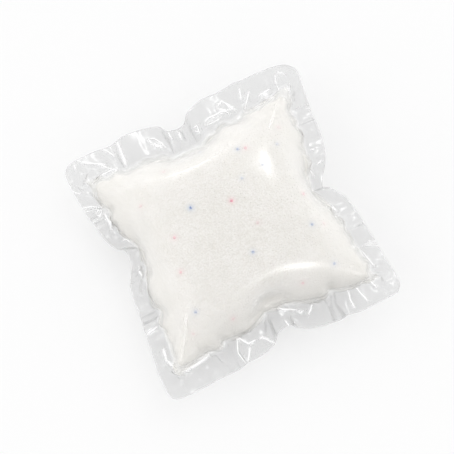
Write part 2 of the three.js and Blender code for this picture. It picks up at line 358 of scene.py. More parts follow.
class Value:
    """A number socket of a node tree. Operators on it add Math nodes."""

    def __init__(self, nodes, socket):
        self.nodes = nodes
        self.socket = socket

    def combined(self, operation, first, second=0.0):
        return self.nodes.value("ShaderNodeMath", {"operation": operation}, {0: first, 1: second})

    def __add__(self, other):
        return self.combined("ADD", self, other)

    def __radd__(self, other):
        return self.combined("ADD", other, self)

    def __sub__(self, other):
        return self.combined("SUBTRACT", self, other)

    def __rsub__(self, other):
        return self.combined("SUBTRACT", other, self)

    def __mul__(self, other):
        return self.combined("MULTIPLY", self, other)

    def __rmul__(self, other):
        return self.combined("MULTIPLY", other, self)

    def __pow__(self, other):
        return self.combined("POWER", self, other)

    def __rpow__(self, other):
        return self.combined("POWER", other, self)

    def __abs__(self):
        return self.combined("ABSOLUTE", self)

    def at_least(self, low):
        return self.combined("MAXIMUM", self, low)


class Nodes:
    """The nodes of one tree."""

    def __init__(self, tree):
        self.tree = tree
        tree.nodes.clear()

    def add(self, kind, settings=None, sockets=None):
        """Adds a node: first its settings, then the values or links of its sockets."""
        node = self.tree.nodes.new(kind)
        for name, setting in (settings or {}).items():
            setattr(node, name, setting)
        for key, given in (sockets or {}).items():
            source = given.socket if isinstance(given, Value) else given
            if isinstance(source, bpy.types.NodeSocket):
                self.tree.links.new(source, node.inputs[key])
            else:
                node.inputs[key].default_value = source
        return node

    def value(self, kind, settings=None, sockets=None, output=0):
        """Adds a node and wraps one of its outputs for use in expressions."""
        return Value(self, self.add(kind, settings, sockets).outputs[output])

    def attribute(self, name):
        """A number that the mesh holds for each of its points."""
        return self.value("ShaderNodeAttribute", {"attribute_name": name}, output="Fac")

    def ramp(self, value, low, high):
        """A value's share of the way from low to high, eased at both ends."""
        sockets = {"Value": value, "From Min": low, "From Max": high}
        return self.value("ShaderNodeMapRange", {"interpolation_type": "SMOOTHSTEP"}, sockets)

    def noise(self, place, size, detail=2.0):
        """Noise with features of a size in millimetres."""
        sockets = {"Vector": place, "Scale": 1 / (size * MM), "Detail": detail}
        return self.value("ShaderNodeTexNoise", {}, sockets)

    def mixed(self, share, first, second):
        """A colour between two others."""
        sockets = {"Factor": share, 6: first, 7: second}
        return self.add("ShaderNodeMix", {"data_type": "RGBA"}, sockets).outputs[2]

    def blend(self, share, first, second):
        """A shader between two others."""
        return self.add("ShaderNodeMixShader", {}, {0: share, 1: first.outputs[0], 2: second.outputs[0]})

    def bump(self, height, strength, distance):
        """A normal from a height, with the height's full step in millimetres."""
        sockets = {"Height": height, "Strength": strength, "Distance": distance * MM}
        return self.add("ShaderNodeBump", {}, sockets).outputs[0]

    def shadow_rays(self):
        """1 for light on its way to a surface, and 0 for what is seen."""
        return Value(self, self.add("ShaderNodeLightPath").outputs["Is Shadow Ray"])

    def seen_rays(self):
        """1 for what the camera, gloss and clear film see, and 0 for light on a surface."""
        path = self.add("ShaderNodeLightPath").outputs
        return Value(self, path["Is Camera Ray"]) + path["Is Glossy Ray"] + path["Is Transmission Ray"]


def new_material(name):
    material = bpy.data.materials.new(name)
    material.use_nodes = True
    return material, Nodes(material.node_tree)


def colour(steps):
    """A colour in 8-bit steps of red, green and blue as the linear colour that nodes take."""
    linear = []
    for step in steps:
        share = step / 255
        linear.append(share / 12.92 if share <= 0.04045 else ((share + 0.055) / 1.055) ** 2.4)
    return (*linear, 1.0)


def add_object(name, data):
    """A new object of the scene."""
    placed = bpy.data.objects.new(name, data)
    bpy.context.scene.collection.objects.link(placed)
    return placed


# Camera, and places in the frame as pixels of the photograph

def direction_of(azimuth, elevation):
    """The direction from the bag to something seen at an azimuth and an elevation in degrees."""
    turn = math.radians(azimuth)
    rise = math.radians(elevation)
    return Vector((math.sin(turn) * math.cos(rise), -math.cos(turn) * math.cos(rise), math.sin(rise)))


view_back = direction_of(VIEW_AZIMUTH, VIEW_ELEVATION)
view_right = Vector((0, 0, 1)).cross(view_back).normalized()
view_up = view_back.cross(view_right)
half_photo = PHOTO_PIXELS / 2
camera_distance = PHOTO_PIXELS * MM_PER_PIXEL * LENS_LENGTH / SENSOR_WIDTH


def camera_place():
    """Where the camera stands, so that the bag's middle falls on its pixel."""
    off_right = (BAG_MIDDLE_PIXEL[0] - half_photo) * MM_PER_PIXEL
    off_down = (BAG_MIDDLE_PIXEL[1] - half_photo) * MM_PER_PIXEL
    aim = Vector((0, 0, SEAL_HEIGHT)) - off_right * view_right + off_down * view_up
    return aim + view_back * camera_distance


def photo_pixels(points):
    """The pixels of the photograph that points in millimetres fall on."""
    from_camera = points - np.array(camera_place())
    depth = from_camera @ -np.array(view_back)
    pixels_per_slope = PHOTO_PIXELS * LENS_LENGTH / SENSOR_WIDTH
    across = half_photo + pixels_per_slope * (from_camera @ np.array(view_right)) / depth
    down = half_photo - pixels_per_slope * (from_camera @ np.array(view_up)) / depth
    return np.stack((across, down), axis=-1)


def add_camera():
    camera = add_object("camera", bpy.data.cameras.new("camera"))
    camera.data.lens = LENS_LENGTH
    camera.data.sensor_width = SENSOR_WIDTH
    camera.data.clip_start = NEAREST_SEEN * MM
    camera.location = camera_place() * MM
    camera.rotation_euler = view_back.to_track_quat("Z", "Y").to_euler()
    bpy.context.scene.camera = camera


# Film as cut and as inflated

def eased(low, high, value):
    """A value's share of the way from low to high, eased at both ends."""
    share = np.clip((value - low) / (high - low), 0, 1)
    return share * share * (3 - 2 * share)


def graded_lines(half, seal, margin_cells, dome_cells):
    """Grid lines across the film, with a line on each edge of the seal."""
    margin = np.linspace(half - seal, half, margin_cells + 1)
    dome = np.linspace(seal - half, half - seal, dome_cells + 1)
    return np.concatenate((-margin[:0:-1], dome, margin[1:]))


def past_seal(x, y):
    """How far places of the flat film lie beyond the seal's inner edge."""
    return np.maximum(abs(x) - (FLAT_HALF_X - SEAL_X), abs(y) - (FLAT_HALF_Y - SEAL_Y))


def side_coordinates(side, x, y):
    """The distance along a side from its middle, counter-clockwise, and the distance outwards."""
    turn = side * math.pi / 2
    along = x * math.cos(turn) + y * math.sin(turn)
    outwards = x * math.sin(turn) - y * math.cos(turn)
    return along, outwards


def past_side(side, outwards):
    """How far places lie beyond the seal's inner edge on one side."""
    if side in (FRONT, BACK):
        return outwards - (FLAT_HALF_Y - SEAL_Y)
    return outwards - (FLAT_HALF_X - SEAL_X)


def gathered(x, y):
    """The film's points, with the seal's inner line drawn in and out in waves."""
    moved_x = x.copy()
    moved_y = y.copy()
    for side in SIDES:
        along, outwards = side_coordinates(side, x, y)
        wave = np.zeros_like(x)
        for depth, pitch in GATHER_WAVES:
            wave += depth * np.sin(2 * math.pi * along / pitch + side * pitch)
        drawn = wave * np.exp(-((past_side(side, outwards) / GATHER_REACH) ** 2))
        moved_x += drawn * math.sin(side * math.pi / 2)
        moved_y -= drawn * math.cos(side * math.pi / 2)
    return moved_x, moved_y


def cut_outline(x, y):
    """The film's points as cut: bulged along the front and back edges, notched at the pinches and skewed."""
    over_seal = np.clip((abs(y) - (FLAT_HALF_Y - SEAL_Y)) / SEAL_Y, 0, None)
    bulge = np.where(y > 0, BACK_BULGE, -FRONT_BULGE) * over_seal * (1 - (x / FLAT_HALF_X) ** 2)
    moved_x, moved_y = gathered(x, y)
    moved_y += bulge
    for side, place, _ in PINCHES:
        along, outwards = side_coordinates(side, x, y)
        depth = np.clip((outwards - PINCH_CUT_FROM) / PINCH_CUT_OVER, 0, 1)
        drawn = PINCH_CUT * depth * np.exp(-(((along - place) / PINCH_HALF_WIDTH) ** 2))
        turn = side * math.pi / 2
        moved_x -= drawn * math.sin(turn)
        moved_y += drawn * math.cos(turn)
    return moved_x + CUT_SKEW * moved_y / FLAT_HALF_Y, moved_y


def starting_folds(x, y):
    """The heights of the folds that the film starts with, so that it gathers where the real one does."""
    folds = [(side, place, lift, PINCH_HALF_WIDTH, PINCH_REACH) for side, place, lift in PINCHES]
    for side, crinkles in CRINKLES.items():
        folds += [(side, place, lift, half_width, CRINKLE_REACH) for place, lift, half_width in crinkles]
    height = np.zeros_like(x)
    for side, place, lift, half_width, reach in folds:
        along, outwards = side_coordinates(side, x, y)
        depth = np.clip((outwards - (FOLD_OUTER_LINE - reach)) / reach, 0, 1)
        height += lift * depth ** FOLD_FADE * np.exp(-(((along - place) / half_width) ** 2))
    for index in np.ndindex(x.shape):
        place = Vector((x[index] * RIPPLE_PITCH, y[index] * RIPPLE_PITCH, RIPPLE_SEED))
        height[index] += RIPPLE_HEIGHT * noise.noise(place)
    return height


def quads(grid):
    """The faces of a grid of point numbers, facing up."""
    corners = (grid[:-1, :-1], grid[1:, :-1], grid[1:, 1:], grid[:-1, 1:])
    return np.stack(corners, axis=-1).reshape(-1, 4)


def mesh_points(mesh):
    places = np.zeros(len(mesh.vertices) * 3)
    mesh.vertices.foreach_get("co", places)
    return places.reshape(-1, 3)


def inflated_film(lines_x, lines_y):
    """Inflates the two welded sheets as cloth, and gives the grids of points of the upper and lower one."""
    x, y = np.meshgrid(lines_x, lines_y, indexing="ij")
    points = np.stack((*cut_outline(x, y), starting_folds(x, y)), axis=-1).reshape(-1, 3)
    upper = np.arange(x.size).reshape(x.shape)
    margin = CLOTH_MARGIN_CELLS
    pocket = (slice(margin, -margin), slice(margin, -margin))
    inside = (slice(margin + 1, -margin - 1), slice(margin + 1, -margin - 1))
    lower = upper.copy()
    lower[inside] = len(points) + np.arange(upper[inside].size).reshape(upper[inside].shape)
    under = points[upper[inside].ravel()] - (0, 0, 2 * FILM_THICKNESS)
    points = np.concatenate((points, under))
    mesh = bpy.data.meshes.new("cloth")
    faces = quads(upper).tolist() + quads(lower[pocket])[:, ::-1].tolist()
    mesh.from_pydata((points * CLOTH_METRES_PER_MM).tolist(), [], faces)
    cloth = add_object("cloth", mesh)
    groups = {
        "pocket": np.union1d(upper[pocket], lower[inside]), "welded": np.setdiff1d(upper, upper[inside]),
    }
    for name, numbers in groups.items():
        cloth.vertex_groups.new(name=name).add(numbers.tolist(), 1.0, "REPLACE")
    set_cloth(cloth.modifiers.new("cloth", "CLOTH"))
    for step in range(1, CLOTH_FRAMES + 1):
        bpy.context.scene.frame_set(step)
    settled = cloth.evaluated_get(bpy.context.evaluated_depsgraph_get()).to_mesh()
    places = mesh_points(settled) / CLOTH_METRES_PER_MM
    bpy.data.objects.remove(cloth)
    bpy.data.meshes.remove(mesh)
    bpy.context.scene.frame_set(1)
    return places[upper], places[lower]


def set_cloth(modifier):
    """Film that is inflated to the volume of the filled bag."""
    for name, setting in CLOTH_SETTINGS.items():
        setattr(modifier.settings, name, setting)
    modifier.settings.target_volume = INFLATED_CUBIC_MM * CLOTH_METRES_PER_MM ** 3
    modifier.settings.effector_weights.gravity = 0
    modifier.collision_settings.use_collision = False


def settled_bag(upper, lower):
    """Centres the inflated film on its corners, and flattens the face that the bag rests on."""
    corners = upper[[0, -1, -1, 0], [0, 0, -1, -1]]
    margin = CLOTH_MARGIN_CELLS
    seal = np.concatenate((
        upper[margin, margin:-margin], upper[-margin - 1, margin:-margin],
        upper[margin:-margin, margin], upper[margin:-margin, -margin - 1],
    ))
    middle = np.array((*corners[:, :2].mean(axis=0), seal[:, 2].mean() - SEAL_HEIGHT))
    upper = upper - middle
    lower = lower - middle
    lower[..., 2] = REST_SOFTNESS * np.logaddexp(0, lower[..., 2] / REST_SOFTNESS)
    upper[..., 2] = np.maximum(upper[..., 2], lower[..., 2])
    return upper, lower


class Sheet:
    """A settled sheet of film, read at places of the flat film on smooth curves through its points."""

    def __init__(self, lines_x, lines_y, points):
        self.lines_x = lines_x
        self.lines_y = lines_y
        self.points = points

    def at(self, x, y):
        total = np.zeros((*x.shape, 3))
        for row, row_weight in self.taps(x, self.lines_x):
            for column, column_weight in self.taps(y, self.lines_y):
                total += self.points[row, column] * (row_weight * column_weight)[..., None]
        return total

    @staticmethod
    def taps(place, lines):
        """The four lines round each place, with their weights on a curve through all of them."""
        count = len(lines)
        at = np.interp(place, lines, np.arange(count))
        low = np.clip(np.floor(at).astype(int), 0, count - 2)
        t = at - low
        weights = (
            (-t ** 3 + 2 * t ** 2 - t) / 2, (3 * t ** 3 - 5 * t ** 2 + 2) / 2,
            (-3 * t ** 3 + 4 * t ** 2 + t) / 2, (t ** 3 - t ** 2) / 2,
        )
        return [(np.clip(low + tap - 1, 0, count - 1), weight) for tap, weight in enumerate(weights)]


def drawn_taut(points, share):
    """Evens out a sheet's small waves, by a share for each of its points."""
    for _ in range(TAUT_STEPS):
        even = points.copy()
        even[1:-1, 1:-1] = (points[:-2, 1:-1] + points[2:, 1:-1] + points[1:-1, :-2] + points[1:-1, 2:]) / 4
        points = points + share[..., None] * (even - points)
    return points


def dented(points, x, y):
    """The upper sheet, whose places on the flat film are given, with its front wall pulled in."""
    across = (x - DENT_PLACE[0]) / DENT_HALF_WIDTHS[0]
    out = (y - DENT_PLACE[1]) / DENT_HALF_WIDTHS[1]
    depth = DENT_DEPTH * np.exp(-(across ** 2) - out ** 2) * eased(0, DENT_START, -past_seal(x, y))
    return points - depth[..., None] * grid_normals(points)


def rounded_corners(x, y, half_x, half_y, radius):
    """Moves the points of a rectangle's grid so that its corners are round."""
    a = np.clip((abs(x) - (half_x - radius)) / radius, 0, 1)
    b = np.clip((abs(y) - (half_y - radius)) / radius, 0, 1)
    moved_x = np.copysign(abs(x) - radius * a * (1 - np.sqrt(1 - b ** 2 / 2)), x)
    moved_y = np.copysign(abs(y) - radius * b * (1 - np.sqrt(1 - a ** 2 / 2)), y)
    return moved_x, moved_y


def grid_normals(grid):
    """The upward normals of a grid of points."""
    normals = np.cross(np.gradient(grid, axis=0), np.gradient(grid, axis=1))
    return normals / np.linalg.norm(normals, axis=-1, keepdims=True)


# Creases and blisters of the seal margin

def from_segment(pixels, start, end):
    """Signed distances from a segment of the photograph, and distances along it, in millimetres."""
    run = np.subtract(end, start)
    offset = pixels - start
    share = np.clip((offset @ run) / (run @ run), 0, 1)
    distance = np.linalg.norm(offset - share[..., None] * run, axis=-1)
    turn = run[0] * offset[..., 1] - run[1] * offset[..., 0]
    length = np.linalg.norm(run)
    return np.copysign(distance, turn) * MM_PER_PIXEL, share * length * MM_PER_PIXEL


def from_crease(pixels, crease):
    """Signed distances from a crease, and its strength, which tapers off at both ends."""
    nearest = np.full(pixels.shape[:-1], np.inf)
    place = np.zeros_like(nearest)
    passed = 0.0
    for start, end in zip(crease, crease[1:]):
        distance, along = from_segment(pixels, start, end)
        closer = abs(distance) < abs(nearest)
        nearest = np.where(closer, distance, nearest)
        place = np.where(closer, passed + along, place)
        passed += math.dist(start, end) * MM_PER_PIXEL
    taper = min(CREASE_TAPER, passed / 2)
    return nearest, eased(0, taper, place) * eased(0, taper, passed - place)


def crease_field(pixels, in_margin):
    """The creases' height, the distance from the nearest one in its half widths, and the strength there of
    the glint painted along it.
    """
    height = np.zeros(pixels.shape[:-1])
    across = np.full_like(height, np.inf)
    strength = np.zeros_like(height)
    creases = [(crease, THIN_HALF_WIDTH, in_margin) for crease in THIN_CREASES]
    creases += [(crease, BROAD_HALF_WIDTH, in_margin) for crease in BROAD_CREASES]
    creases += [(crease, BROAD_HALF_WIDTH, DOME_CREASE_SHARE) for crease in DOME_CREASES]
    for number, (crease, half_width, share) in enumerate(creases):
        distance, taper = from_crease(pixels, crease)
        taper = taper * share
        # Valleys and ridges by turns
        direction = 1 if number % 2 else -1
        height += direction * CREASE_HEIGHT * taper * np.exp(-abs(distance) / CREASE_SLOPE_WIDTH)
        closer = abs(distance) < abs(across) * half_width
        across = np.where(closer, distance / half_width, across)
        # How strongly the glint painted along the nearest crease shows, fading within its spread
        spread = 1 - eased(CREASE_GLINT_SPREAD / 2, CREASE_GLINT_SPREAD, abs(distance))
        strength = np.where(closer, taper * spread, strength)
    return height, across, strength


def blister_heights(pixels):
    height = np.zeros(pixels.shape[:-1])
    for start, end in BLISTERS:
        distance, _ = from_segment(pixels, np.array(start), np.array(end))
        height += BLISTER_HEIGHT * np.clip(1 - (distance / BLISTER_HALF_WIDTH) ** 2, 0, None) ** 2
    return height


def wrinkle_heights(x, y):
    """Sharp-crested wrinkles that run out from the seal, on all places of the flat film."""
    height = np.zeros_like(x)
    for side in SIDES:
        along, outwards = side_coordinates(side, x, y)
        beyond = past_side(side, outwards)
        into_corner = past_side((side + 1) % len(SIDES), abs(along))
        share = eased(0, WRINKLE_START, beyond) * (1 - eased(0, WRINKLE_CORNER_STOP, into_corner))
        share *= 1 - WRINKLE_FADE_SHARE * eased(*WRINKLE_FADE, beyond)
        across = along / WRINKLE_PITCH
        out = beyond / WRINKLE_LENGTH
        for index in zip(*np.nonzero(share)):
            crest = noise.noise(Vector((across[index], out[index], WRINKLE_SEED + side)))
            height[index] += WRINKLE_HEIGHT * share[index] * (WRINKLE_CREST - WRINKLE_FLANK * abs(crest))
    return height


# Meshes

def rim_of(grid):
    """The point numbers round a grid's edge, counter-clockwise."""
    return np.concatenate((grid[:-1, 0], grid[-1, :-1], grid[:0:-1, -1], grid[0, :0:-1]))


def closed_between(name, top, bottom, middle_rim=None):
    """A closed piece between two grids of points in millimetres, and a rim between their edges if given."""
    count = top.shape[0] * top.shape[1]
    upper = np.arange(count).reshape(top.shape[:2])
    lower = upper + count
    points = [top.reshape(-1, 3), bottom.reshape(-1, 3)]
    rims = [rim_of(lower), rim_of(upper)]
    if middle_rim is not None:
        points.append(middle_rim)
        rims.insert(1, 2 * count + np.arange(len(middle_rim)))
    faces = [quads(upper), quads(lower)[:, ::-1]]
    for under, over in zip(rims, rims[1:]):
        faces.append(np.stack((under, np.roll(under, -1), np.roll(over, -1), over), axis=-1))
    mesh = bpy.data.meshes.new(name)
    mesh.from_pydata((np.concatenate(points) * MM).tolist(), [], np.concatenate(faces).tolist())
    mesh.shade_smooth()
    return mesh


def set_attribute(mesh, name, values):
    attribute = mesh.attributes.new(name, "FLOAT", "POINT")
    attribute.data.foreach_set("value", np.asarray(values, np.float32).ravel())


def add_piece(mesh, material=None, nodes=()):
    """A finished piece of the object, which stands for CAD nodes where it names some."""
    piece = add_object(mesh.name, mesh)
    if material is not None:
        mesh.materials.append(material)
    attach(piece, "root")
    if nodes:
        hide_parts(*nodes)
    return piece


# Materials

def by_facing(facing, face_on, edge_on, power):
    """A share that grows as the film turns edge-on."""
    return face_on + edge_on * facing ** power


def film_material():
    """Clear film: glossier edge-on, grey in the welded margin, and white on creases, cut edge and dust.

    Its grey in the margin is partly painted shade, and the grey it gains edge-on is painted shade along
    folds.
    Its white paints glints along the creases and the cut edge, and is dust that also paints a sheen on the
    bag's walls.

    Light on its way to what lies under the film meets only its clear and grey body, so gloss and white cast
    no shadow.
    """
    material, nodes = new_material("clear_film")
    place = nodes.add("ShaderNodeTexCoord").outputs["Object"]
    past = nodes.attribute("past_seal")
    margin = nodes.ramp(past, *MARGIN_START)
    # Dust on the film beside the seal, whose white also paints a sheen on the bag's walls
    dust_and_sheen = nodes.ramp(past, *DUST_AND_SHEEN_START) * (1 - nodes.ramp(past, *DUST_AND_SHEEN_END))
    across = abs(nodes.attribute("crease_across"))
    # Glints painted along the creases
    crease_glint = nodes.attribute("crease_glint_strength") * (1 - nodes.ramp(across, 0, 1))
    # A glint painted along the film's cut edge
    edge = 1 - nodes.ramp(nodes.attribute("edge_distance"), 0, CUT_EDGE_GLINT_WIDTH)
    waves = nodes.noise(place, WAVE_SIZE) * (TAUT_WAVES + MARGIN_WAVES * margin)
    grain = FILM_GRAIN_SHARE * nodes.noise(place, FILM_GRAIN_SIZE)
    normal = nodes.bump(waves + grain + CREASE_RELIEF_SHARE * crease_glint, *FILM_RELIEF)
    facing = nodes.value("ShaderNodeLayerWeight", {}, {"Blend": 0.5, "Normal": normal}, output="Facing")
    clear = nodes.add("ShaderNodeBsdfTransparent", {}, {"Color": CLEAR_FILM})
    grey = nodes.add("ShaderNodeBsdfTransparent", {}, {"Color": GREY_FILM})
    gloss = nodes.add("ShaderNodeBsdfPrincipled", {}, {
        "Base Color": GLOSSY_FILM, "Metallic": 1.0, "Roughness": FILM_ROUGHNESS + MARGIN_ROUGHNESS * margin,
        "Normal": normal,
    })
    white = nodes.add("ShaderNodeBsdfPrincipled", {}, {
        "Base Color": nodes.mixed(dust_and_sheen, GLINT_AND_DUST_WHITE, colour(DUST_AND_SHEEN_COLOUR)), "Roughness": WHITE_ROUGHNESS,
        "Normal": normal,
    })
    # The margin's grey: partly painted shade, and painted shade along folds as they turn edge-on
    body = nodes.blend(margin * by_facing(facing, *MARGIN_GREY_AND_SHADE_SHARES), clear, grey)
    seen = 1 - nodes.shadow_rays()
    film = nodes.blend(seen * by_facing(facing, *GLOSS_SHARES), body, gloss)
    # White where glints are painted along creases and the cut edge, and dust that also paints a sheen
    with_glints_and_dust = nodes.blend(seen * (crease_glint + CUT_EDGE_GLINT_SHARE * edge + DUST_AND_SHEEN_SHARE * dust_and_sheen), film, white)
    nodes.add("ShaderNodeOutputMaterial", {}, {"Surface": with_glints_and_dust.outputs[0]})
    return material


def powder_material():
    """Warm white powder, cloudy and speckled, with a little dye round each coloured grain."""
    material, nodes = new_material("white_powder")
    place = nodes.add("ShaderNodeTexCoord").outputs["Object"]
    cloudy = nodes.ramp(nodes.noise(place, CLOUD_SIZE, detail=3.0), *CLOUD_RANGE)
    speck = nodes.ramp(nodes.noise(place, SPECK_SIZE), *SPECK_RANGE)
    from_middle = nodes.value("ShaderNodeVectorMath", {"operation": "LENGTH"}, {0: place}, output="Value")
    flank = nodes.ramp(from_middle, FLANK_START * MM, FLANK_END * MM)
    white = nodes.mixed(cloudy, colour(POWDER_WHITE), colour(CLOUD_COLOUR))
    tint = nodes.mixed((SPECK_SHARE - SPECK_LOSS_AT_FLANK * flank) * speck, white, colour(SPECK_COLOUR))
    for hue, stain in STAIN_COLOURS.items():
        tint = nodes.mixed(nodes.attribute(f"{hue}_stain"), tint, colour(stain))
    powder = nodes.add("ShaderNodeBsdfPrincipled", {}, {
        "Base Color": tint, "Roughness": POWDER_ROUGHNESS, "Specular IOR Level": POWDER_SPECULAR,
        "Normal": nodes.bump(speck, *SPECK_RELIEF),
    })
    nodes.add("ShaderNodeOutputMaterial", {}, {"Surface": powder.outputs[0]})
    return material


def grain_material(hue):
    """A dyed grain with white dust in its hollows, as deep in colour as the grain's own dye."""
    material, nodes = new_material(f"{hue}_grain")
    place = nodes.add("ShaderNodeTexCoord").outputs["Object"]
    dust = nodes.ramp(nodes.noise(place, GRAIN_DUST_SIZE, detail=3.0), *GRAIN_DUST_RANGE)
    dyed = nodes.attribute("dye") * (1 - GRAIN_DUST_SHARE * dust)
    tint = nodes.mixed(dyed, colour(GRAIN_DUST_COLOUR), colour(DYE_COLOURS[hue]))
    grain = nodes.add("ShaderNodeBsdfPrincipled", {}, {
        "Base Color": tint, "Roughness": GRAIN_ROUGHNESS, "Normal": nodes.bump(dust, *GRAIN_RELIEF),
    })
    nodes.add("ShaderNodeOutputMaterial", {}, {"Surface": grain.outputs[0]})
    return material


# Film

def make_films(upper_sheet, lower_sheet, material):
    """The two films as thin closed shells that share the welded margin."""
    lines_x = graded_lines(FLAT_HALF_X, SEAL_X, MARGIN_CELLS, DOME_CELLS)
    lines_y = graded_lines(FLAT_HALF_Y, SEAL_Y, MARGIN_CELLS, DOME_CELLS)
    square_x, square_y = np.meshgrid(lines_x, lines_y, indexing="ij")
    edge_distance = np.minimum(FLAT_HALF_X - abs(square_x), FLAT_HALF_Y - abs(square_y))
    x, y = rounded_corners(square_x, square_y, FLAT_HALF_X, FLAT_HALF_Y, FILM_CORNER_RADIUS)
    into_margin = past_seal(x, y)
    grids = {"upper": upper_sheet.at(x, y), "lower": lower_sheet.at(x, y)}
    pixels = photo_pixels(grids["upper"])
    in_margin = eased(*CREASES_START, into_margin)
    crease_height, crease_across, crease_glint_strength = crease_field(pixels, in_margin)
    raised = crease_height + in_margin * blister_heights(pixels) + wrinkle_heights(x, y)
    shared = grid_normals(grids["upper"]) + grid_normals(grids["lower"])
    shared /= np.linalg.norm(shared, axis=-1, keepdims=True)
    attributes = {
        "past_seal": into_margin, "edge_distance": edge_distance,
        "crease_across": crease_across, "crease_glint_strength": crease_glint_strength,
    }
    for name, direction in (("upper", 1), ("lower", -1)):
        grid = grids[name] + raised[..., None] * shared
        normals = direction * grid_normals(grid)
        inner = grid + normals * WELD_GAP / 2
        outer = grid + normals * (WELD_GAP / 2 + FILM_THICKNESS)
        top, bottom = (outer, inner) if direction > 0 else (inner, outer)
        mesh = closed_between(f"{name}_sheet", top, bottom)
        for key, values in attributes.items():
            set_attribute(mesh, key, np.concatenate((values.ravel(), values.ravel())))
        piece = add_piece(mesh, material, [f"{name}_film"])


# Powder and its granules

def powder_body(upper_sheet, lower_sheet):
    """The charge of powder, which follows the two films at a clearance and stops short of the seal."""
    half_x = FLAT_HALF_X - SEAL_X - POWDER_SHORT_OF_SEAL
    half_y = FLAT_HALF_Y - SEAL_Y - POWDER_SHORT_OF_SEAL
    lines_x = np.linspace(-half_x, half_x, POWDER_CELLS + 1)
    lines_y = np.linspace(-half_y, half_y, POWDER_CELLS + 1)
    square = np.meshgrid(lines_x, lines_y, indexing="ij")
    x, y = rounded_corners(*square, half_x, half_y, POWDER_CORNER_RADIUS)
    top = upper_sheet.at(x, y)
    bottom = lower_sheet.at(x, y)
    span = top - bottom
    depth = np.linalg.norm(span, axis=-1, keepdims=True)
    direction = span / np.maximum(depth, LEAST_HALF_DEPTH)
    insets = []
    for grid in (top, bottom):
        slope = np.clip((grid_normals(grid) * direction).sum(axis=-1, keepdims=True), LEAST_SLOPE, 1)
        insets.append(np.minimum(POWDER_CLEARANCE / slope, depth / 2 - LEAST_HALF_DEPTH))
    top = top - direction * insets[0]
    bottom = bottom + direction * insets[1]
    rim = rim_of(np.arange(x.size).reshape(x.shape))
    middle = (top.reshape(-1, 3)[rim] + bottom.reshape(-1, 3)[rim]) / 2
    outwards = middle * (1, 1, 0)
    outwards /= np.linalg.norm(outwards, axis=-1, keepdims=True)
    return closed_between("powder_charge", top, bottom, middle + outwards * POWDER_RIM_BULGE)


def granule_tree(material):
    """Scatters granules over a face: their spacing, density and sizes are inputs, in metres."""
    tree = bpy.data.node_groups.new("granules", "GeometryNodeTree")
    nodes = Nodes(tree)
    tree.interface.new_socket("Geometry", in_out="INPUT", socket_type="NodeSocketGeometry")
    for name in ("Spacing", "Density", "Smallest", "Largest"):
        tree.interface.new_socket(name, in_out="INPUT", socket_type="NodeSocketFloat")
    tree.interface.new_socket("Seed", in_out="INPUT", socket_type="NodeSocketInt")
    tree.interface.new_socket("Geometry", in_out="OUTPUT", socket_type="NodeSocketGeometry")
    given = nodes.add("NodeGroupInput").outputs
    scatter = nodes.add("GeometryNodeDistributePointsOnFaces", {"distribute_method": "POISSON"}, {
        "Mesh": given["Geometry"], "Distance Min": given["Spacing"], "Density Max": given["Density"],
        "Seed": given["Seed"],
    })
    granule = nodes.add("GeometryNodeMeshIcoSphere", {}, {"Radius": 0.5, "Subdivisions": 1})
    smallest = nodes.add("ShaderNodeCombineXYZ", {}, dict.fromkeys(range(3), given["Smallest"]))
    largest = nodes.add("ShaderNodeCombineXYZ", {}, dict.fromkeys(range(3), given["Largest"]))
    size = nodes.add("FunctionNodeRandomValue", {"data_type": "FLOAT_VECTOR"}, {
        0: smallest.outputs[0], 1: largest.outputs[0], "Seed": given["Seed"],
    })
    turn = nodes.add("FunctionNodeRandomValue", {"data_type": "FLOAT_VECTOR"}, {
        0: (0, 0, 0), 1: (2 * math.pi, 2 * math.pi, 2 * math.pi), "Seed": given["Seed"],
    })
    placed = nodes.add("GeometryNodeInstanceOnPoints", {}, {
        "Points": scatter.outputs["Points"], "Instance": granule.outputs["Mesh"],
        "Rotation": turn.outputs[0], "Scale": size.outputs[0],
    })
    real = nodes.add("GeometryNodeRealizeInstances", {}, {"Geometry": placed.outputs[0]})
    finished = nodes.add("GeometryNodeSetMaterial", {}, {"Geometry": real.outputs[0], "Material": material})
    nodes.add("NodeGroupOutput", {}, {"Geometry": finished.outputs[0]})
    return tree


def granule_mesh(powder, material):
    """The granules that lie in the powder's surface, as one plain mesh."""
    carrier = add_object("powder_granules", powder.copy())
    tree = granule_tree(material)
    modifier = carrier.modifiers.new("granules", "NODES")
    modifier.node_group = tree
    sizes = {
        "Spacing": GRANULE_SPACING * MM, "Density": GRANULE_DENSITY / MM ** 2,
        "Smallest": GRANULE_SMALLEST * MM, "Largest": GRANULE_LARGEST * MM, "Seed": GRANULE_SEED,
    }
    for item in tree.interface.items_tree:
        if item.in_out == "INPUT" and item.name in sizes:
            modifier[item.identifier] = sizes[item.name]
    evaluated = carrier.evaluated_get(bpy.context.evaluated_depsgraph_get())
    mesh = bpy.data.meshes.new_from_object(evaluated)
    bpy.data.objects.remove(carrier)
    mesh.name = "powder_granules"
    mesh.shade_smooth()
    return mesh


# Coloured grains

def grain_mesh(name, middle, seed):
    """A lumpy grain round a point in metres."""
    shape = bmesh.new()
    bmesh.ops.create_icosphere(shape, subdivisions=GRAIN_FINENESS, radius=GRAIN_DIAMETER * MM / 2)
    for vertex in shape.verts:
        direction = vertex.co.normalized()
        lump = noise.noise(direction * GRAIN_LUMP_PITCH + Vector((seed, 2 * seed, 0)))
        vertex.co = vertex.co * (1 + GRAIN_LUMP_HEIGHT * lump) + middle
    mesh = bpy.data.meshes.new(name)
    shape.to_mesh(mesh)
    shape.free()
    mesh.shade_smooth()
    return mesh


def dye_of(name):
    if name in STRONG_GRAINS:
        return STRONG_DYE
    return FAINT_DYE if name in FAINT_GRAINS else USUAL_DYE


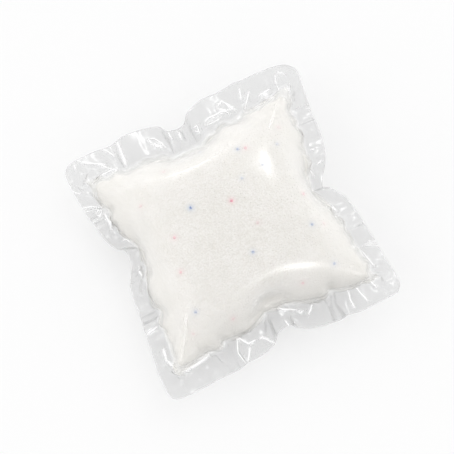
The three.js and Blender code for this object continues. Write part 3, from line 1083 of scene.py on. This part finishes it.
def seat_grains(powder, materials):
    """Each coloured grain lies in the powder's surface, over or under the place of its CAD node."""
    surface = BVHTree.FromPolygons(
        [vertex.co for vertex in powder.vertices], [face.vertices for face in powder.polygons],
    )
    seats = []
    for number, name in enumerate(sorted(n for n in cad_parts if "_grain_" in n)):
        low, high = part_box(name)
        middle = (low + high) / 2
        upwards = 1 if middle.z > SEAL_HEIGHT * MM else -1
        # A metre above or below the bag
        outside = Vector((middle.x, middle.y, upwards))
        hit, normal, _, _ = surface.ray_cast(outside, Vector((0, 0, -upwards)))
        seat = hit - normal * GRAIN_DEPTH * MM
        hue = name.split("_")[0]
        mesh = grain_mesh(name.replace("grain", "granule"), seat, number)
        set_attribute(mesh, "dye", np.full(len(mesh.vertices), dye_of(name)))
        add_piece(mesh, materials[hue], [name])
        seats.append((hue, seat, dye_of(name)))
    return seats


def stain_powder(mesh, seats):
    """A little dye in the powder round each coloured grain."""
    places = mesh_points(mesh)
    stains = {hue: np.zeros(len(places)) for hue in STAIN_COLOURS}
    for hue, seat, dye in seats:
        distance = np.linalg.norm(places - np.array(seat), axis=-1)
        stain = STAIN_SHARE * dye * np.exp(-((distance / (STAIN_REACH * MM)) ** 2))
        stains[hue] = np.maximum(stains[hue], stain)
    for hue, stain in stains.items():
        set_attribute(mesh, f"{hue}_stain", stain)


# Stage

def add_lamp(name, azimuth, elevation, strength, angle):
    """A distant round lamp, seen from the bag at an azimuth and an elevation."""
    lamp = bpy.data.lights.new(name, "SUN")
    lamp.energy = strength
    lamp.angle = math.radians(angle)
    placed = add_object(name, lamp)
    placed.rotation_euler = direction_of(azimuth, elevation).to_track_quat("Z", "Y").to_euler()
    return placed


def add_floor():
    """White paper, which keeps the bag's shadow and looks part plain white."""
    half = FLOOR_HALF_METRES
    drop = FLOOR_DROP * MM
    mesh = bpy.data.meshes.new("floor")
    corners = [(-half, -half, -drop), (half, -half, -drop), (half, half, -drop), (-half, half, -drop)]
    mesh.from_pydata(corners, [], [(0, 1, 2, 3)])
    material, nodes = new_material("white_floor")
    paper = nodes.add("ShaderNodeBsdfDiffuse", {}, {"Color": (FLOOR_WHITE, FLOOR_WHITE, FLOOR_WHITE, 1)})
    plain = nodes.add("ShaderNodeEmission", {}, {"Color": PLAIN_WHITE, "Strength": 1.0})
    floor_look = nodes.blend(FLOOR_GLOW * nodes.seen_rays(), paper, plain)
    nodes.add("ShaderNodeOutputMaterial", {}, {"Surface": floor_look.outputs[0]})
    mesh.materials.append(material)
    floor = add_object("floor", mesh)


def set_world():
    """Soft light from all round, weaker overhead, and a plain white that the camera and reflections see."""
    world = bpy.data.worlds.new("studio")
    world.use_nodes = True
    bpy.context.scene.world = world
    nodes = Nodes(world.node_tree)
    direction = nodes.add("ShaderNodeTexCoord").outputs["Generated"]
    height = nodes.value("ShaderNodeSeparateXYZ", {}, {"Vector": direction}, output="Z")
    light = SKY_HORIZON - (SKY_HORIZON - SKY_OVERHEAD) * height.at_least(0.0)
    strength = light + nodes.seen_rays() * (1 - light)
    sky = nodes.add("ShaderNodeBackground", {}, {"Color": PLAIN_WHITE, "Strength": strength})
    nodes.add("ShaderNodeOutputWorld", {}, {"Surface": sky.outputs[0]})


# Making

add_camera()
film_finish = film_material()
powder_finish = powder_material()
grain_finishes = {hue: grain_material(hue) for hue in DYE_COLOURS}

cloth_x = graded_lines(FLAT_HALF_X, SEAL_X, CLOTH_MARGIN_CELLS, CLOTH_CELLS - 2 * CLOTH_MARGIN_CELLS)
cloth_y = graded_lines(FLAT_HALF_Y, SEAL_Y, CLOTH_MARGIN_CELLS, CLOTH_CELLS - 2 * CLOTH_MARGIN_CELLS)
inflated = inflated_film(cloth_x, cloth_y)
flat_places = np.meshgrid(cloth_x, cloth_y, indexing="ij")
taut = eased(*TAUT_FROM_SEAL, -past_seal(*flat_places))
upper_film, lower_film = (drawn_taut(points, taut) for points in settled_bag(*inflated))
sheets = [Sheet(cloth_x, cloth_y, points) for points in (dented(upper_film, *flat_places), lower_film)]
make_films(*sheets, film_finish)

powder = powder_body(*sheets)
granules = granule_mesh(powder, powder_finish)
grain_seats = seat_grains(powder, grain_finishes)
for mesh in (powder, granules):
    stain_powder(mesh, grain_seats)
add_piece(powder, powder_finish, ["powder_fill"])
add_piece(granules)

add_floor()
set_world()
for name, placing in LIGHTING_LAMPS.items():
    add_lamp(name, *placing).visible_glossy = False
for name, placing in MIRRORED_LAMPS.items():
    add_lamp(name, *placing).visible_diffuse = False
bpy.context.scene.view_settings.view_transform = "Standard"
